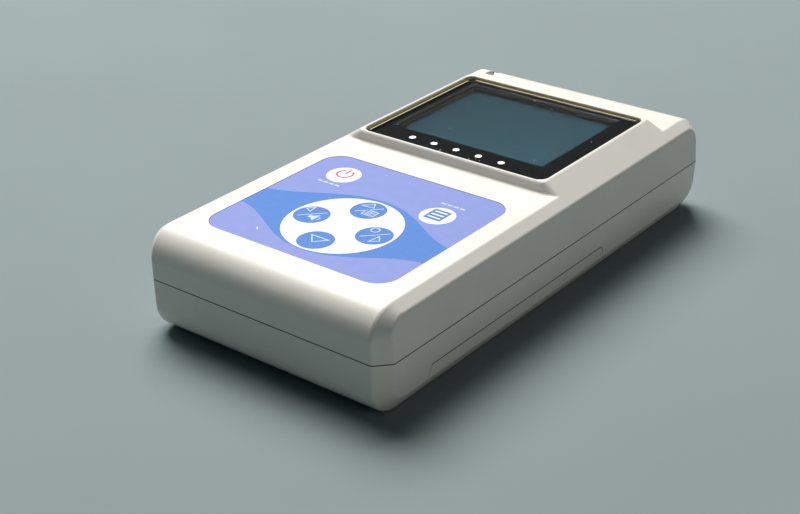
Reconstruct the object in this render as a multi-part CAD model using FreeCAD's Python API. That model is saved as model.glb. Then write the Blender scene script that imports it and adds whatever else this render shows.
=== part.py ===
import FreeCAD, Part
import math
import os

# Handheld microchip scanner. Millimetres. X is across the handset, +Y points to the display end,
# +Z is up. The origin is the middle of the underside.

V = FreeCAD.Vector

# ---------------------------------------------------------------- driving dimensions
LENGTH = 113.0
WIDTH = 60.0
SEAM_Z = 11.8                 # where the two case shells meet
DECK_Z = 21.7                 # keypad deck and far strip
RIM_Z = 24.0                  # top of the display plateau
WALL = 2.0
SEAM_GAP = 0.16               # visible line between the shells

END_RADIUS = 6.0              # rounding of both ends, above and below the seam
BAND_ACROSS = 2.95            # chamfer band along the long edges and down the corners
BAND_SLOPE = 0.68             # fall of the band per millimetre across
SIDE_DRAFT_DEG = 3.8          # the side walls lean in above and below the seam
BAND_DROP_BELOW = 3.4         # height of the band along the bottom edges
SOFT_EDGE = 0.9               # rounding of the band's edges

# The plateau's flanks carry the band's slope on upwards, so its rim is narrower by what that takes.
RIM_HALF_X = WIDTH / 2 - BAND_ACROSS - (RIM_Z - DECK_Z) / BAND_SLOPE
RIM_Y = (1.8, 42.55)
FOOT_Y = (1.4, 43.55)         # plateau foot, measured at DECK_Z
PLATEAU_CORNER = 1.5
RIM_SOFT = 1.0
FOOT_FILLET = 0.7

WINDOW_X = (-22.95, 22.95)
WINDOW_Y = (2.7, 41.75)
WINDOW_CORNER = 1.8
WINDOW_RECESS = 0.75          # glass sits this far below the rim
WINDOW_THICK = 1.0
WINDOW_GAP = 0.1
MASK_THICK = 0.1
WINDOW_LIP = 0.3              # rounding of the rim's inner edge
MASK_OPENING_X = (-21.0, 17.9)
MASK_OPENING_Y = (10.0, 40.2)
LAMP_PITCH = 5.73
LAMP_MID_X = -1.48
LAMP_X = [LAMP_MID_X + LAMP_PITCH * i for i in (-2, -1, 0, 1, 2)]
LAMP_Y = 6.95
LAMP_HOLE_R = 0.8

OVERLAY_X = (-22.6, 22.7)
OVERLAY_Y = (-47.3, -6.8)
OVERLAY_CORNER = 4.5
OVERLAY_THICK = 0.5
OVERLAY_SINK = 0.06           # overlay face below the deck
KEY_RADIUS = 3.56
KEY_GAP = 0.1
DISC_CENTRE = (0.67, -32.25)
DISC_KEY_OFFSET = 7.8
KEYS = {
    "power_key": (-14.1, -14.4),
    "menu_key": (12.9, -18.5),
    "up_key": (DISC_CENTRE[0], DISC_CENTRE[1] + DISC_KEY_OFFSET),
    "down_key": (DISC_CENTRE[0], DISC_CENTRE[1] - DISC_KEY_OFFSET),
    "left_key": (DISC_CENTRE[0] - DISC_KEY_OFFSET, DISC_CENTRE[1]),
    "right_key": (DISC_CENTRE[0] + DISC_KEY_OFFSET, DISC_CENTRE[1]),
}

DOOR_Y = (-44.2, 15.7)
DOOR_INNER_X = -16.0
DOOR_SIDE_Z = 6.1             # top of the door's skirt on the side wall
DOOR_GAP = 0.15
DOOR_PLATE = 1.0              # thickness of the outer layer; the tongues lie on it
DOOR_TONGUE_TOP = 2.0
DOOR_TONGUE_OUT = 0.9
GRIP_HALF_Y = 7.0             # grip grooves in the door's face
GRIP_X = (17.0, 18.8, 20.6, 22.4)
GRIP_WIDE = 0.8
GRIP_DEEP = 0.35

BAY_X = (-10.5, 26.5)
BAY_Y = (-42.0, 13.5)
BAY_TOP_Z = 9.4
BAY_WALL = 1.2
PACK_SIZE = (34.0, 53.0, 5.7)

BOARD_Z = (12.6, 14.2)
BOARD_HALF_X = 26.3
BOARD_HALF_Y = 51.8

CASE_SCREWS = [(-23.0, -48.5), (23.0, -48.5), (-20.5, 49.1), (23.0, 48.5)]
BOSS_R = 3.0
SCREW_R = 1.2
SCREW_BORE_R = 1.25
SCREW_HEAD_R = 2.2
SCREW_HEAD_H = 1.6
COUNTERBORE_R = 2.6
COUNTERBORE_DEEP = 3.4

BOARD_SCREWS = [(-21.0, -39.5), (-21.0, 0.5), (21.0, 20.5), (-18.0, 28.5)]
POST_R = 2.4
BOARD_SCREW_R = 0.9
BOARD_SCREW_BORE_R = 0.95

STRAP_X = (-24.6, -22.4)
STRAP_FRONT_Y = 49.5
STRAP_FLOOR_Z = 13.4
STRAP_PIN_R = 0.7
STRAP_PIN_AT = (53.6, 19.9)   # y, z of the pin across the strap recess

SOCKET_HALF_X = 3.75
SOCKET_Z = (10.0, 12.6)
SOCKET_Y = (50.8, 55.8)
SOCKET_CLEAR = 0.35

HALF_L = LENGTH / 2
HALF_W = WIDTH / 2


# ---------------------------------------------------------------- helpers
def box(x, y, z):
    """Box between the low and high value of each pair."""
    return Part.makeBox(x[1] - x[0], y[1] - y[0], z[1] - z[0], V(x[0], y[0], z[0]))


def cylinder(at, z, radius):
    return Part.makeCylinder(radius, z[1] - z[0], V(at[0], at[1], z[0]))


def rounded_plate(x, y, z, radius):
    """Plate with rounded vertical corners."""
    plate = box(x, y, z)
    upright = [e for e in plate.Edges if abs(e.tangentAt(e.FirstParameter).z) > 0.9]
    return plate.makeFillet(radius, upright)


def grown(pair, by):
    return (pair[0] - by, pair[1] + by)


def join(shapes):
    solid = shapes[0].fuse(shapes[1:])
    return solid.removeSplitter()


def hull_of(lower, upper):
    """Solid between two matching rings of points."""
    count = len(lower)
    faces = [Part.Face(Part.makePolygon(ring + [ring[0]])) for ring in (lower, upper)]
    for i in range(count):
        j = (i + 1) % count
        quad = [lower[i], lower[j], upper[j], upper[i], lower[i]]
        faces.append(Part.Face(Part.makePolygon(quad)))
    return Part.makeSolid(Part.makeShell(faces))


def flat_between(line_a, line_b):
    """Flat face between two parallel straight edges."""
    a, b = [[v.Point for v in line.Vertexes] for line in (line_a, line_b)]
    return Part.Face(Part.makePolygon([a[0], a[1], b[1], b[0], a[0]]))


def soften(shape, radius, wanted):
    """Fillet the edges that the test accepts."""
    edges = [e for e in shape.Edges if wanted(e)]
    return shape.makeFillet(radius, edges)


def save(name, shape):
    if not shape.isValid():
        print("INVALID", name)
    shape.exportStep("parts/" + name + ".step")


# ---------------------------------------------------------------- outer shape of the case
def end_outline(x, lean, half_y, rise, radius, up):
    """Edges of a side view outline from the seam over to the seam again, on an upright plane that
    leans in by `lean` radians, with its two ends rounded."""
    def at(y, s):
        return V(x - math.copysign(s * math.sin(lean), x), y, SEAM_Z + up * s * math.cos(lean))

    def rounding(sign):
        centre = (sign * (half_y - radius), rise - radius)
        bulge = radius * math.sqrt(0.5)
        return at(centre[0] + sign * bulge, centre[1] + bulge)

    near_low = at(-half_y, 0)
    near_high = at(-half_y, rise - radius)
    near_top = at(-half_y + radius, rise)
    far_top = at(half_y - radius, rise)
    far_high = at(half_y, rise - radius)
    far_low = at(half_y, 0)
    return [
        Part.LineSegment(near_low, near_high).toShape(),
        Part.Arc(near_high, rounding(-1), near_top).toShape(),
        Part.LineSegment(near_top, far_top).toShape(),
        Part.Arc(far_top, rounding(1), far_high).toShape(),
        Part.LineSegment(far_high, far_low).toShape(),
    ]


def half_body(up, inset=0.0):
    """One half of the case as a solid block, above (up = 1) or below (up = -1) the seam. The middle
    is a straight run, and a sloped band turns it into the smaller side outline at each flank."""
    rise = (DECK_Z - SEAM_Z if up > 0 else SEAM_Z) - inset
    half_y = HALF_L - inset
    side_x = HALF_W - inset
    middle_x = side_x - BAND_ACROSS
    lean = math.radians(SIDE_DRAFT_DEG)
    band_run = (BAND_ACROSS - rise * math.tan(lean)) / (1 - BAND_SLOPE * math.tan(lean))
    drop = BAND_SLOPE * band_run if up > 0 else BAND_DROP_BELOW
    side_rise = (rise - drop) / math.cos(lean)
    radius = END_RADIUS - inset
    side_radius = radius - BAND_ACROSS * 0.8 if radius > 5 else radius * 0.5

    core_edges = end_outline(-middle_x, 0.0, half_y, rise, radius, up)
    close = Part.LineSegment(V(-middle_x, half_y, SEAM_Z), V(-middle_x, -half_y, SEAM_Z)).toShape()
    core = Part.Face(Part.Wire(core_edges + [close])).extrude(V(2 * middle_x, 0, 0))
    flanks = []
    for side in (-1, 1):
        inner = end_outline(side * middle_x, 0.0, half_y, rise, radius, up)
        outer = end_outline(side * side_x, lean, half_y - BAND_ACROSS, side_rise, side_radius, up)
        faces = [Part.makeRuledSurface(a, b) for a, b in zip(inner, outer)]
        faces[2] = flat_between(inner[2], outer[2])
        seam_ring = [V(side * middle_x, half_y, SEAM_Z), V(side * middle_x, -half_y, SEAM_Z),
                     V(side * side_x, -half_y + BAND_ACROSS, SEAM_Z),
                     V(side * side_x, half_y - BAND_ACROSS, SEAM_Z)]
        seam_inner = Part.LineSegment(seam_ring[0], seam_ring[1]).toShape()
        seam_outer = Part.LineSegment(seam_ring[3], seam_ring[2]).toShape()
        faces.append(Part.Face(Part.Wire(inner + [seam_inner])))
        faces.append(Part.Face(Part.Wire(outer + [seam_outer])))
        faces.append(Part.Face(Part.makePolygon(seam_ring + [seam_ring[0]])))
        flanks.append(Part.makeSolid(Part.makeShell(faces)))
    return join([core] + flanks)


def on_band(edge):
    """The band's two long edge chains, at nearly constant x."""
    b = edge.BoundBox
    at_seam = b.ZLength < 0.01 and abs(b.ZMin - SEAM_Z) < 0.01
    return b.XLength < 0.5 and b.XMin * b.XMax > 26 * 26 and not at_seam


def plateau():
    """Raised block round the display. It reaches down into the deck."""
    low_z = DECK_Z - 1.1
    low_half_x = RIM_HALF_X + (RIM_Z - low_z) / BAND_SLOPE
    run = (RIM_Z - low_z) / (RIM_Z - DECK_Z)
    low_y = [rim + (foot - rim) * run for rim, foot in zip(RIM_Y, FOOT_Y)]

    def ring(half_x, y, z):
        return [V(-half_x, y[0], z), V(half_x, y[0], z), V(half_x, y[1], z), V(-half_x, y[1], z)]

    return hull_of(ring(low_half_x, low_y, low_z), ring(RIM_HALF_X, RIM_Y, RIM_Z))


def upper_outside():
    body = join([half_body(1), plateau()]).Solids[0]
    body = soften(body, PLATEAU_CORNER,
                  lambda e: e.BoundBox.ZMax > RIM_Z - 0.1 and e.BoundBox.ZLength > 1)
    body = soften(body, RIM_SOFT, lambda e: e.BoundBox.ZMin > RIM_Z - 0.1)

    def at_foot(e):
        b = e.BoundBox
        return b.ZLength < 0.01 and abs(b.ZMin - DECK_Z) < 0.01 and b.XLength > 20 and abs(b.YMin) < 48

    body = soften(body, FOOT_FILLET, at_foot)
    return soften(body, SOFT_EDGE, on_band).Solids[0]


def lower_outside():
    return soften(half_body(-1).Solids[0], SOFT_EDGE, on_band).Solids[0]


# ---------------------------------------------------------------- display stack heights
WINDOW_TOP = RIM_Z - WINDOW_RECESS
WINDOW_BED = WINDOW_TOP - WINDOW_THICK - MASK_THICK
LEDGE_BOTTOM = WINDOW_BED - 1.2
GASKET_THICK = 0.55
PANEL_TOP = LEDGE_BOTTOM - GASKET_THICK
PANEL_THICK = 0.8
MODULE_BOTTOM = 17.7
PANEL_MID_Y = (MASK_OPENING_Y[0] + MASK_OPENING_Y[1]) / 2
MODULE_X = (-24.1, 22.6)
MODULE_Y = (7.85, 41.85)
RIBBON_SOCKET_X = (-25.4, -22.8)

OVERLAY_BED = DECK_Z - OVERLAY_SINK - OVERLAY_THICK
KEY_TOP = DECK_Z - OVERLAY_SINK
CEILING = DECK_Z - WALL
SWITCH_TOP = BOARD_Z[1] + 3.2


# ---------------------------------------------------------------- case shells
def seam_plate(inset, z):
    """The case's outline at the seam, drawn in by `inset`, as a plate."""
    half_x, half_y = HALF_W - inset, HALF_L - inset
    corners = [(half_x, half_y - BAND_ACROSS), (half_x - BAND_ACROSS, half_y)]
    quarter = [V(x, y, z[0]) for x, y in corners]
    ring = (quarter + [V(-p.x, p.y, p.z) for p in reversed(quarter)]
            + [V(-p.x, -p.y, p.z) for p in quarter] + [V(p.x, -p.y, p.z) for p in reversed(quarter)])
    return Part.Face(Part.makePolygon(ring + [ring[0]])).extrude(V(0, 0, z[1] - z[0]))


def seam_lip():
    """Lip inside the top case's edge that reaches down behind the bottom case's wall."""
    top, bottom = SEAM_Z + 1.0, SEAM_Z - 1.0
    lip = join([seam_plate(WALL - 0.1, (SEAM_Z, top)), seam_plate(WALL + 0.1, (bottom, top))])
    return lip.cut(seam_plate(WALL + 0.95, (bottom - 1, top + 1)))


def top_case():
    # the hollow inside: it rises over the display module, and leaves out the screw bosses, the walls
    # of the strap recess and the seam lip
    reach = SEAM_Z + 0.02
    over_display = box(grown(MODULE_X, 0.5), grown(MODULE_Y, 0.4), (CEILING - 1, LEDGE_BOTTOM))
    bosses = [cylinder(at, (reach, CEILING + 1), BOSS_R) for at in CASE_SCREWS]
    recess_walls = box(grown(STRAP_X, BAY_WALL), (STRAP_FRONT_Y - BAY_WALL, HALF_L),
                       (STRAP_FLOOR_Z - BAY_WALL, DECK_Z))
    hollow = join([half_body(1, WALL), over_display])
    hollow = hollow.cut(bosses + [recess_walls, seam_lip()])
    body = upper_outside().cut(hollow)
    body = join([body, seam_lip()])
    body = body.cut([cylinder(at, (reach - 1, CEILING - 1.2), SCREW_BORE_R) for at in CASE_SCREWS])

    # window bed, display opening and lamp holes through the ledge
    bed = rounded_plate(grown(WINDOW_X, WINDOW_GAP), grown(WINDOW_Y, WINDOW_GAP),
                        (WINDOW_BED, RIM_Z + 1), WINDOW_CORNER)
    opening = box(grown(MASK_OPENING_X, 0.35), grown(MASK_OPENING_Y, 0.35), (LEDGE_BOTTOM - 1, RIM_Z))
    body = body.cut([bed, opening])
    body = soften(body, WINDOW_LIP, at_window_lip)
    body = body.cut([cylinder((x, LAMP_Y), (CEILING - 1, RIM_Z), LAMP_HOLE_R + 0.2) for x in LAMP_X])

    # keypad recess and key holes
    body = body.cut(rounded_plate(grown(OVERLAY_X, 0.12), grown(OVERLAY_Y, 0.12),
                                  (OVERLAY_BED, DECK_Z + 1), OVERLAY_CORNER + 0.12))
    body = body.cut([cylinder(at, (CEILING - 1, DECK_Z), KEY_RADIUS + 0.2) for at in KEYS.values()])

    # strap recess in the far left corner, and the socket's mouth
    body = body.cut(box(STRAP_X, (STRAP_FRONT_Y, HALF_L + 1), (STRAP_FLOOR_Z, DECK_Z + 1)))
    body = body.cut([strap_pin_rod(0.03), socket_mouth()])
    return body.Solids[0]


def at_window_lip(edge):
    """The rim's inner edge, where the window bed comes out of the plateau's top."""
    b = edge.BoundBox
    (x0, x1), (y0, y1) = grown(WINDOW_X, 0.2), grown(WINDOW_Y, 0.2)
    return b.ZMin > RIM_Z - 0.01 and b.XMin > x0 and b.XMax < x1 and b.YMin > y0 and b.YMax < y1


def strap_pin_rod(extra=0.0):
    y, z = STRAP_PIN_AT
    end = BAY_WALL * 0.75 + extra
    length = STRAP_X[1] - STRAP_X[0] + 2 * end
    return Part.makeCylinder(STRAP_PIN_R + extra, length, V(STRAP_X[0] - end, y, z), V(1, 0, 0))


def socket_mouth():
    return box((-SOCKET_HALF_X - SOCKET_CLEAR, SOCKET_HALF_X + SOCKET_CLEAR), (HALF_L - 3, HALF_L + 1),
               grown(SOCKET_Z, SOCKET_CLEAR))


def door_outline(gap):
    """The door's side view as a solid across the whole handset, cut to the skirt later."""
    y0, y1 = DOOR_Y[0] - gap, DOOR_Y[1] + gap
    top = DOOR_SIDE_Z + gap
    points = [(y0, -1), (y0, 2.5), (y0 + 0.9, 3.5), (y0 + 1.9, top),
              (y1 - 0.7, top), (y1, top - 1.2), (y1, -1)]
    ring = [V(0, y, z) for y, z in points]
    return Part.Face(Part.makePolygon(ring + [ring[0]])).extrude(V(HALF_W + 1, 0, 0))


def bottom_case():
    body = lower_outside()
    body = body.cut(half_body(-1, WALL))
    body = body.cut(box((-HALF_W, HALF_W), (-HALF_L, HALF_L), (SEAM_Z - SEAM_GAP, SEAM_Z + 1)))

    # door bed, battery bay walls and roof
    skirt_x = HALF_W - WALL
    bed = box((DOOR_INNER_X - 1.6, skirt_x), grown(DOOR_Y, 1.6), (0.5, 3.2))
    bay = box(grown(BAY_X, BAY_WALL), grown(BAY_Y, BAY_WALL), (1.0, BAY_TOP_Z + BAY_WALL))
    flank = box((BAY_X[1], skirt_x - 0.1), grown(DOOR_Y, 1.6), (1.0, DOOR_SIDE_Z + 2))
    body = join([body] + [piece.common(lower_outside()) for piece in (bed, bay, flank)]).Solids[0]

    gap = DOOR_GAP
    plate_y = grown(DOOR_Y, gap - DOOR_TONGUE_OUT)
    body = body.cut(box((DOOR_INNER_X - gap, HALF_W + 1), plate_y, (-1, DOOR_PLATE + gap)))
    body = body.cut(box((DOOR_INNER_X - gap, HALF_W + 1), grown(DOOR_Y, gap),
                        (DOOR_PLATE, DOOR_TONGUE_TOP + gap)))
    skirt_space = box((skirt_x - gap, HALF_W + 1), (-HALF_L, HALF_L), (-1, 10))
    body = body.cut(door_outline(gap).common(skirt_space))
    body = body.cut(box(BAY_X, BAY_Y, (0, BAY_TOP_Z)))

    # screw pillars with counterbores from below, and board posts
    shelf = COUNTERBORE_DEEP
    pillars = [cylinder(at, (1.0, SEAM_Z - SEAM_GAP), BOSS_R + 0.4) for at in CASE_SCREWS]
    posts = [cylinder(at, (1.0, BOARD_Z[0]), POST_R) for at in BOARD_SCREWS]
    body = join([body] + pillars + posts).Solids[0]
    body = body.cut([cylinder(at, (-1, shelf), COUNTERBORE_R) for at in CASE_SCREWS])
    body = body.cut([cylinder(at, (shelf - 1, SEAM_Z + 1), SCREW_BORE_R) for at in CASE_SCREWS])
    body = body.cut([cylinder(at, (BOARD_Z[0] - 5, BOARD_Z[0] + 1), BOARD_SCREW_BORE_R)
                     for at in BOARD_SCREWS])
    body = body.cut(socket_mouth())
    return body.Solids[0]


def battery_door():
    """Plate under the bay with a tongue along each end, and a skirt up the side wall."""
    skirt_x = HALF_W - WALL
    shell = lower_outside()
    reach_x = (DOOR_INNER_X, HALF_W)
    plate_y = grown(DOOR_Y, -DOOR_TONGUE_OUT)
    plate = box(reach_x, plate_y, (0, DOOR_PLATE + 0.1)).common(shell)
    tongues = box(reach_x, DOOR_Y, (DOOR_PLATE + DOOR_GAP, DOOR_TONGUE_TOP)).common(shell)
    skirt = box((skirt_x, HALF_W), (-HALF_L, HALF_L), (0, 10)).common(shell).common(door_outline(0))
    core = box(reach_x, plate_y, (DOOR_PLATE, DOOR_TONGUE_TOP)).common(shell)
    door = join([plate, core, tongues, skirt]).Solids[0]
    grip_y = (DOOR_Y[0] + DOOR_Y[1]) / 2
    grip = (grip_y - GRIP_HALF_Y, grip_y + GRIP_HALF_Y)
    grooves = [box((x, x + GRIP_WIDE), grip, (-1, GRIP_DEEP)) for x in GRIP_X]
    return door.cut(grooves).Solids[0]


# ---------------------------------------------------------------- display
def display_window():
    return rounded_plate(WINDOW_X, WINDOW_Y, (WINDOW_TOP - WINDOW_THICK, WINDOW_TOP), WINDOW_CORNER - 0.1)


def window_mask():
    """Printed frame behind the window, open over the display and over each lamp."""
    z = (WINDOW_BED, WINDOW_BED + MASK_THICK)
    frame = rounded_plate(grown(WINDOW_X, -0.05), grown(WINDOW_Y, -0.05), z, WINDOW_CORNER - 0.15)
    frame = frame.cut(box(MASK_OPENING_X, MASK_OPENING_Y, grown(z, 1)))
    return frame.cut([cylinder((x, LAMP_Y), grown(z, 1), LAMP_HOLE_R) for x in LAMP_X])


def display_gasket():
    z = (PANEL_TOP, LEDGE_BOTTOM)
    ring = box(grown(MASK_OPENING_X, 2.0), grown(MASK_OPENING_Y, 1.5), z)
    return ring.cut(box(grown(MASK_OPENING_X, 0.1), grown(MASK_OPENING_Y, 0.1), grown(z, 1)))


def display_panel():
    return box(grown(MODULE_X, -0.8), grown(MODULE_Y, -0.8), (PANEL_TOP - PANEL_THICK, PANEL_TOP))


def display_frame():
    """Metal tray that holds the panel and its backlight."""
    tray = box(MODULE_X, MODULE_Y, (MODULE_BOTTOM, PANEL_TOP - 0.05))
    return tray.cut(display_panel())


def display_ribbon():
    """Flat cable from the panel's left edge, down past the coil former, to the board."""
    y = (PANEL_MID_Y - 7.5, PANEL_MID_Y + 7.5)
    thick = 0.15
    out_x, low_z = -25.85, BOARD_Z[1] + 0.5
    leave_z = MODULE_BOTTOM + 0.3
    over = box((out_x, MODULE_X[0]), y, (leave_z, leave_z + thick))
    down = box((out_x, out_x + thick), y, (low_z, leave_z + thick))
    back = box((out_x, RIBBON_SOCKET_X[0]), y, (low_z, low_z + thick))
    return join([over, down, back])


def ribbon_socket():
    return box(RIBBON_SOCKET_X, (PANEL_MID_Y - 8.5, PANEL_MID_Y + 8.5), (BOARD_Z[1], BOARD_Z[1] + 1.1))


def light_guide():
    """Clear bar with one pin up to each lamp hole."""
    bar = box((LAMP_X[0] - 1.4, LAMP_X[-1] + 1.4), (LAMP_Y - 0.75, LAMP_Y + 0.75), (15.1, 16.6))
    pins = [cylinder((x, LAMP_Y), (16.0, WINDOW_BED - 0.02), LAMP_HOLE_R - 0.08) for x in LAMP_X]
    return join([bar] + pins)


def status_lamps():
    z = (BOARD_Z[1], BOARD_Z[1] + 0.7)
    return Part.makeCompound([box((x - 0.8, x + 0.8), (LAMP_Y - 0.4, LAMP_Y + 0.4), z) for x in LAMP_X])


# ---------------------------------------------------------------- keypad
def keypad_overlay():
    plate = rounded_plate(OVERLAY_X, OVERLAY_Y, (OVERLAY_BED, OVERLAY_BED + OVERLAY_THICK), OVERLAY_CORNER)
    holes = [cylinder(at, (OVERLAY_BED - 1, DECK_Z + 1), KEY_RADIUS + KEY_GAP) for at in KEYS.values()]
    return plate.cut(holes)


def key(at):
    """Round key face, a flange that stops it under the deck, and a stem into its switch."""
    face = cylinder(at, (CEILING - 0.5, KEY_TOP), KEY_RADIUS)
    rim = [e for e in face.Edges if e.BoundBox.ZMin > KEY_TOP - 0.01]
    face = face.makeFillet(0.08, rim)
    flange = cylinder(at, (CEILING - 1.0, CEILING - 0.12), KEY_RADIUS + 0.85)
    stem = cylinder(at, (SWITCH_TOP - 1.1, CEILING - 0.9), 1.6)
    return join([face, flange, stem])


def tact_switches():
    half = 3.0
    switches = []
    for x, y in KEYS.values():
        housing = box((x - half, x + half), (y - half, y + half), (BOARD_Z[1], SWITCH_TOP))
        switches.append(housing.cut(cylinder((x, y), (SWITCH_TOP - 2.1, SWITCH_TOP + 1), 1.8)))
    return Part.makeCompound(switches)


# ---------------------------------------------------------------- electronics
def main_board():
    board = rounded_plate((-BOARD_HALF_X, BOARD_HALF_X), (-BOARD_HALF_Y, BOARD_HALF_Y), BOARD_Z, 3.0)
    bosses = [cylinder(at, grown(BOARD_Z, 1), BOSS_R + 0.5) for at in CASE_SCREWS]
    screws = [cylinder(at, grown(BOARD_Z, 1), BOARD_SCREW_BORE_R) for at in BOARD_SCREWS]
    strap = box(grown(STRAP_X, 2.0), (STRAP_FRONT_Y - 2.0, HALF_L), grown(BOARD_Z, 1))
    return board.cut(bosses + screws + [strap]).Solids[0]


COIL_Z = (15.9, 17.5)
COIL_MID_Y = 25.1
COIL_OUTER = (22.0, 16.6)
COIL_WIDE = 3.4


def coil_ring(grow_out, grow_in, z):
    """Racetrack ring round the coil's middle."""
    hx, hy = COIL_OUTER
    out = rounded_plate((-hx - grow_out, hx + grow_out),
                        (COIL_MID_Y - hy - grow_out, COIL_MID_Y + hy + grow_out), z, 6.0 + grow_out)
    ix, iy = hx - COIL_WIDE - grow_in, hy - COIL_WIDE - grow_in
    hole = rounded_plate((-ix, ix), (COIL_MID_Y - iy, COIL_MID_Y + iy), grown(z, 1), 3.0)
    return out.cut(hole)


def antenna_coil():
    return coil_ring(0.0, 0.0, COIL_Z)


def coil_former():
    """Flat ring under the coil with an inner wall and four feet on the board."""
    flange = coil_ring(0.3, 1.2, (COIL_Z[0] - 0.7, COIL_Z[0]))
    hub = coil_ring(-COIL_WIDE - 0.05, 1.2, (COIL_Z[0] - 0.5, COIL_Z[1]))
    foot_z = (BOARD_Z[1], COIL_Z[0] - 0.5)
    feet = [cylinder((x, COIL_MID_Y + y), foot_z, 1.0) for x in (-17, 17) for y in (-14.2, 14.2)]
    return join([flange, hub.cut(antenna_coil())] + feet).Solids[0]


def chip(mid, size, pins_along):
    """Flat package with a row of legs down two sides."""
    sx, sy, sz = size
    x, y = mid
    z = BOARD_Z[1]
    parts = [box((x - sx / 2, x + sx / 2), (y - sy / 2, y + sy / 2), (z + 0.1, z + sz))]
    pitch = (sy - 0.8) / (pins_along - 1)
    for side in (-1, 1):
        foot_x = sorted((x + side * sx * 0.45, x + side * (sx / 2 + 0.9)))
        for i in range(pins_along):
            py = y - sy / 2 + 0.4 + i * pitch
            parts.append(box(foot_x, (py - 0.15, py + 0.15), (z, z + 0.3)))
    return join(parts)


def clock_crystal():
    x, y = -21.5, -7.5
    return rounded_plate((x - 1.8, x + 1.8), (y - 4.0, y + 4.0), (BOARD_Z[1], BOARD_Z[1] + 2.6), 1.7)


def buzzer():
    at = (16.5, -40.5)
    can = cylinder(at, (BOARD_Z[1], BOARD_Z[1] + 3.6), 4.5)
    return can.cut(cylinder(at, (BOARD_Z[1] + 3.0, BOARD_Z[1] + 5), 0.8))


def data_socket():
    """Metal shell open at the far end, with a contact tongue inside."""
    x = (-SOCKET_HALF_X, SOCKET_HALF_X)
    shell = rounded_plate_y(x, SOCKET_Y, SOCKET_Z, 0.7)
    hollow = rounded_plate_y(grown(x, -0.3), (SOCKET_Y[0] + 0.4, SOCKET_Y[1] + 1), grown(SOCKET_Z, -0.3), 0.5)
    tongue = box((-2.4, 2.4), (SOCKET_Y[0], SOCKET_Y[1] - 0.6), (SOCKET_Z[0] + 1.05, SOCKET_Z[0] + 1.6))
    return join([shell.cut(hollow), tongue])


def rounded_plate_y(x, y, z, radius):
    """Block along Y with rounded edges."""
    block = box(x, y, z)
    along = [e for e in block.Edges if abs(e.tangentAt(e.FirstParameter).y) > 0.9]
    return block.makeFillet(radius, along)


# ---------------------------------------------------------------- battery
PACK_Z = 2.3
PACK_FAR_Y = BAY_Y[1] - 1.6
PACK_MID_X = (BAY_X[0] + BAY_X[1]) / 2


def battery_pack():
    width, length, height = PACK_SIZE
    return rounded_plate((PACK_MID_X - width / 2, PACK_MID_X + width / 2),
                         (PACK_FAR_Y - length, PACK_FAR_Y), (PACK_Z, PACK_Z + height), 2.0)


def battery_foam():
    return box((PACK_MID_X - 11, PACK_MID_X + 11), (-33.5, 4.5), (PACK_Z + PACK_SIZE[2], BAY_TOP_Z))


def battery_contacts():
    blades = []
    for x in (PACK_MID_X - 4, PACK_MID_X, PACK_MID_X + 4):
        blades.append(box((x - 0.8, x + 0.8), (PACK_FAR_Y, BAY_Y[1]), (3.4, 6.4)))
    return Part.makeCompound(blades)


# ---------------------------------------------------------------- fasteners
def case_screws():
    screws = []
    for at in CASE_SCREWS:
        seat = COUNTERBORE_DEEP
        head = cylinder(at, (seat - SCREW_HEAD_H, seat), SCREW_HEAD_R)
        shank = cylinder(at, (seat - 0.5, CEILING - 1.8), SCREW_R)
        slots = [box((at[0] - a, at[0] + a), (at[1] - b, at[1] + b), (seat - SCREW_HEAD_H - 1, seat - 1.0))
                 for a, b in ((1.3, 0.3), (0.3, 1.3))]
        screws.append(join([head, shank]).cut(slots).Solids[0])
    return Part.makeCompound(screws)


def board_screws():
    screws = []
    for at in BOARD_SCREWS:
        head = cylinder(at, (BOARD_Z[1], BOARD_Z[1] + 0.9), 1.7)
        shank = cylinder(at, (BOARD_Z[0] - 4.5, BOARD_Z[1] + 0.5), BOARD_SCREW_R)
        screws.append(join([head, shank]))
    return Part.makeCompound(screws)


# ---------------------------------------------------------------- write every node
os.makedirs("parts", exist_ok=True)
NODES = {
    "top_case": top_case(),
    "bottom_case": bottom_case(),
    "battery_door": battery_door(),
    "display_window": display_window(),
    "window_mask": window_mask(),
    "display_gasket": display_gasket(),
    "display_panel": display_panel(),
    "display_frame": display_frame(),
    "display_ribbon": display_ribbon(),
    "ribbon_socket": ribbon_socket(),
    "light_guide": light_guide(),
    "status_lamps": status_lamps(),
    "keypad_overlay": keypad_overlay(),
    "tact_switches": tact_switches(),
    "main_board": main_board(),
    "antenna_coil": antenna_coil(),
    "coil_former": coil_former(),
    "reader_chip": chip((8.0, 23.5), (7.5, 5.0, 1.0), 7),
    "processor_chip": chip((-17.0, -25.5), (7.0, 7.0, 1.1), 9),
    "clock_crystal": clock_crystal(),
    "buzzer": buzzer(),
    "data_socket": data_socket(),
    "battery_pack": battery_pack(),
    "battery_foam": battery_foam(),
    "battery_contacts": battery_contacts(),
    "case_screws": case_screws(),
    "board_screws": board_screws(),
    "strap_pin": strap_pin_rod(),
}
for name, place in KEYS.items():
    NODES[name] = key(place)
for name, shape in NODES.items():
    save(name, shape)
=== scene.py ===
import math

import bmesh
import bpy
from mathutils import Matrix, Vector


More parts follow.
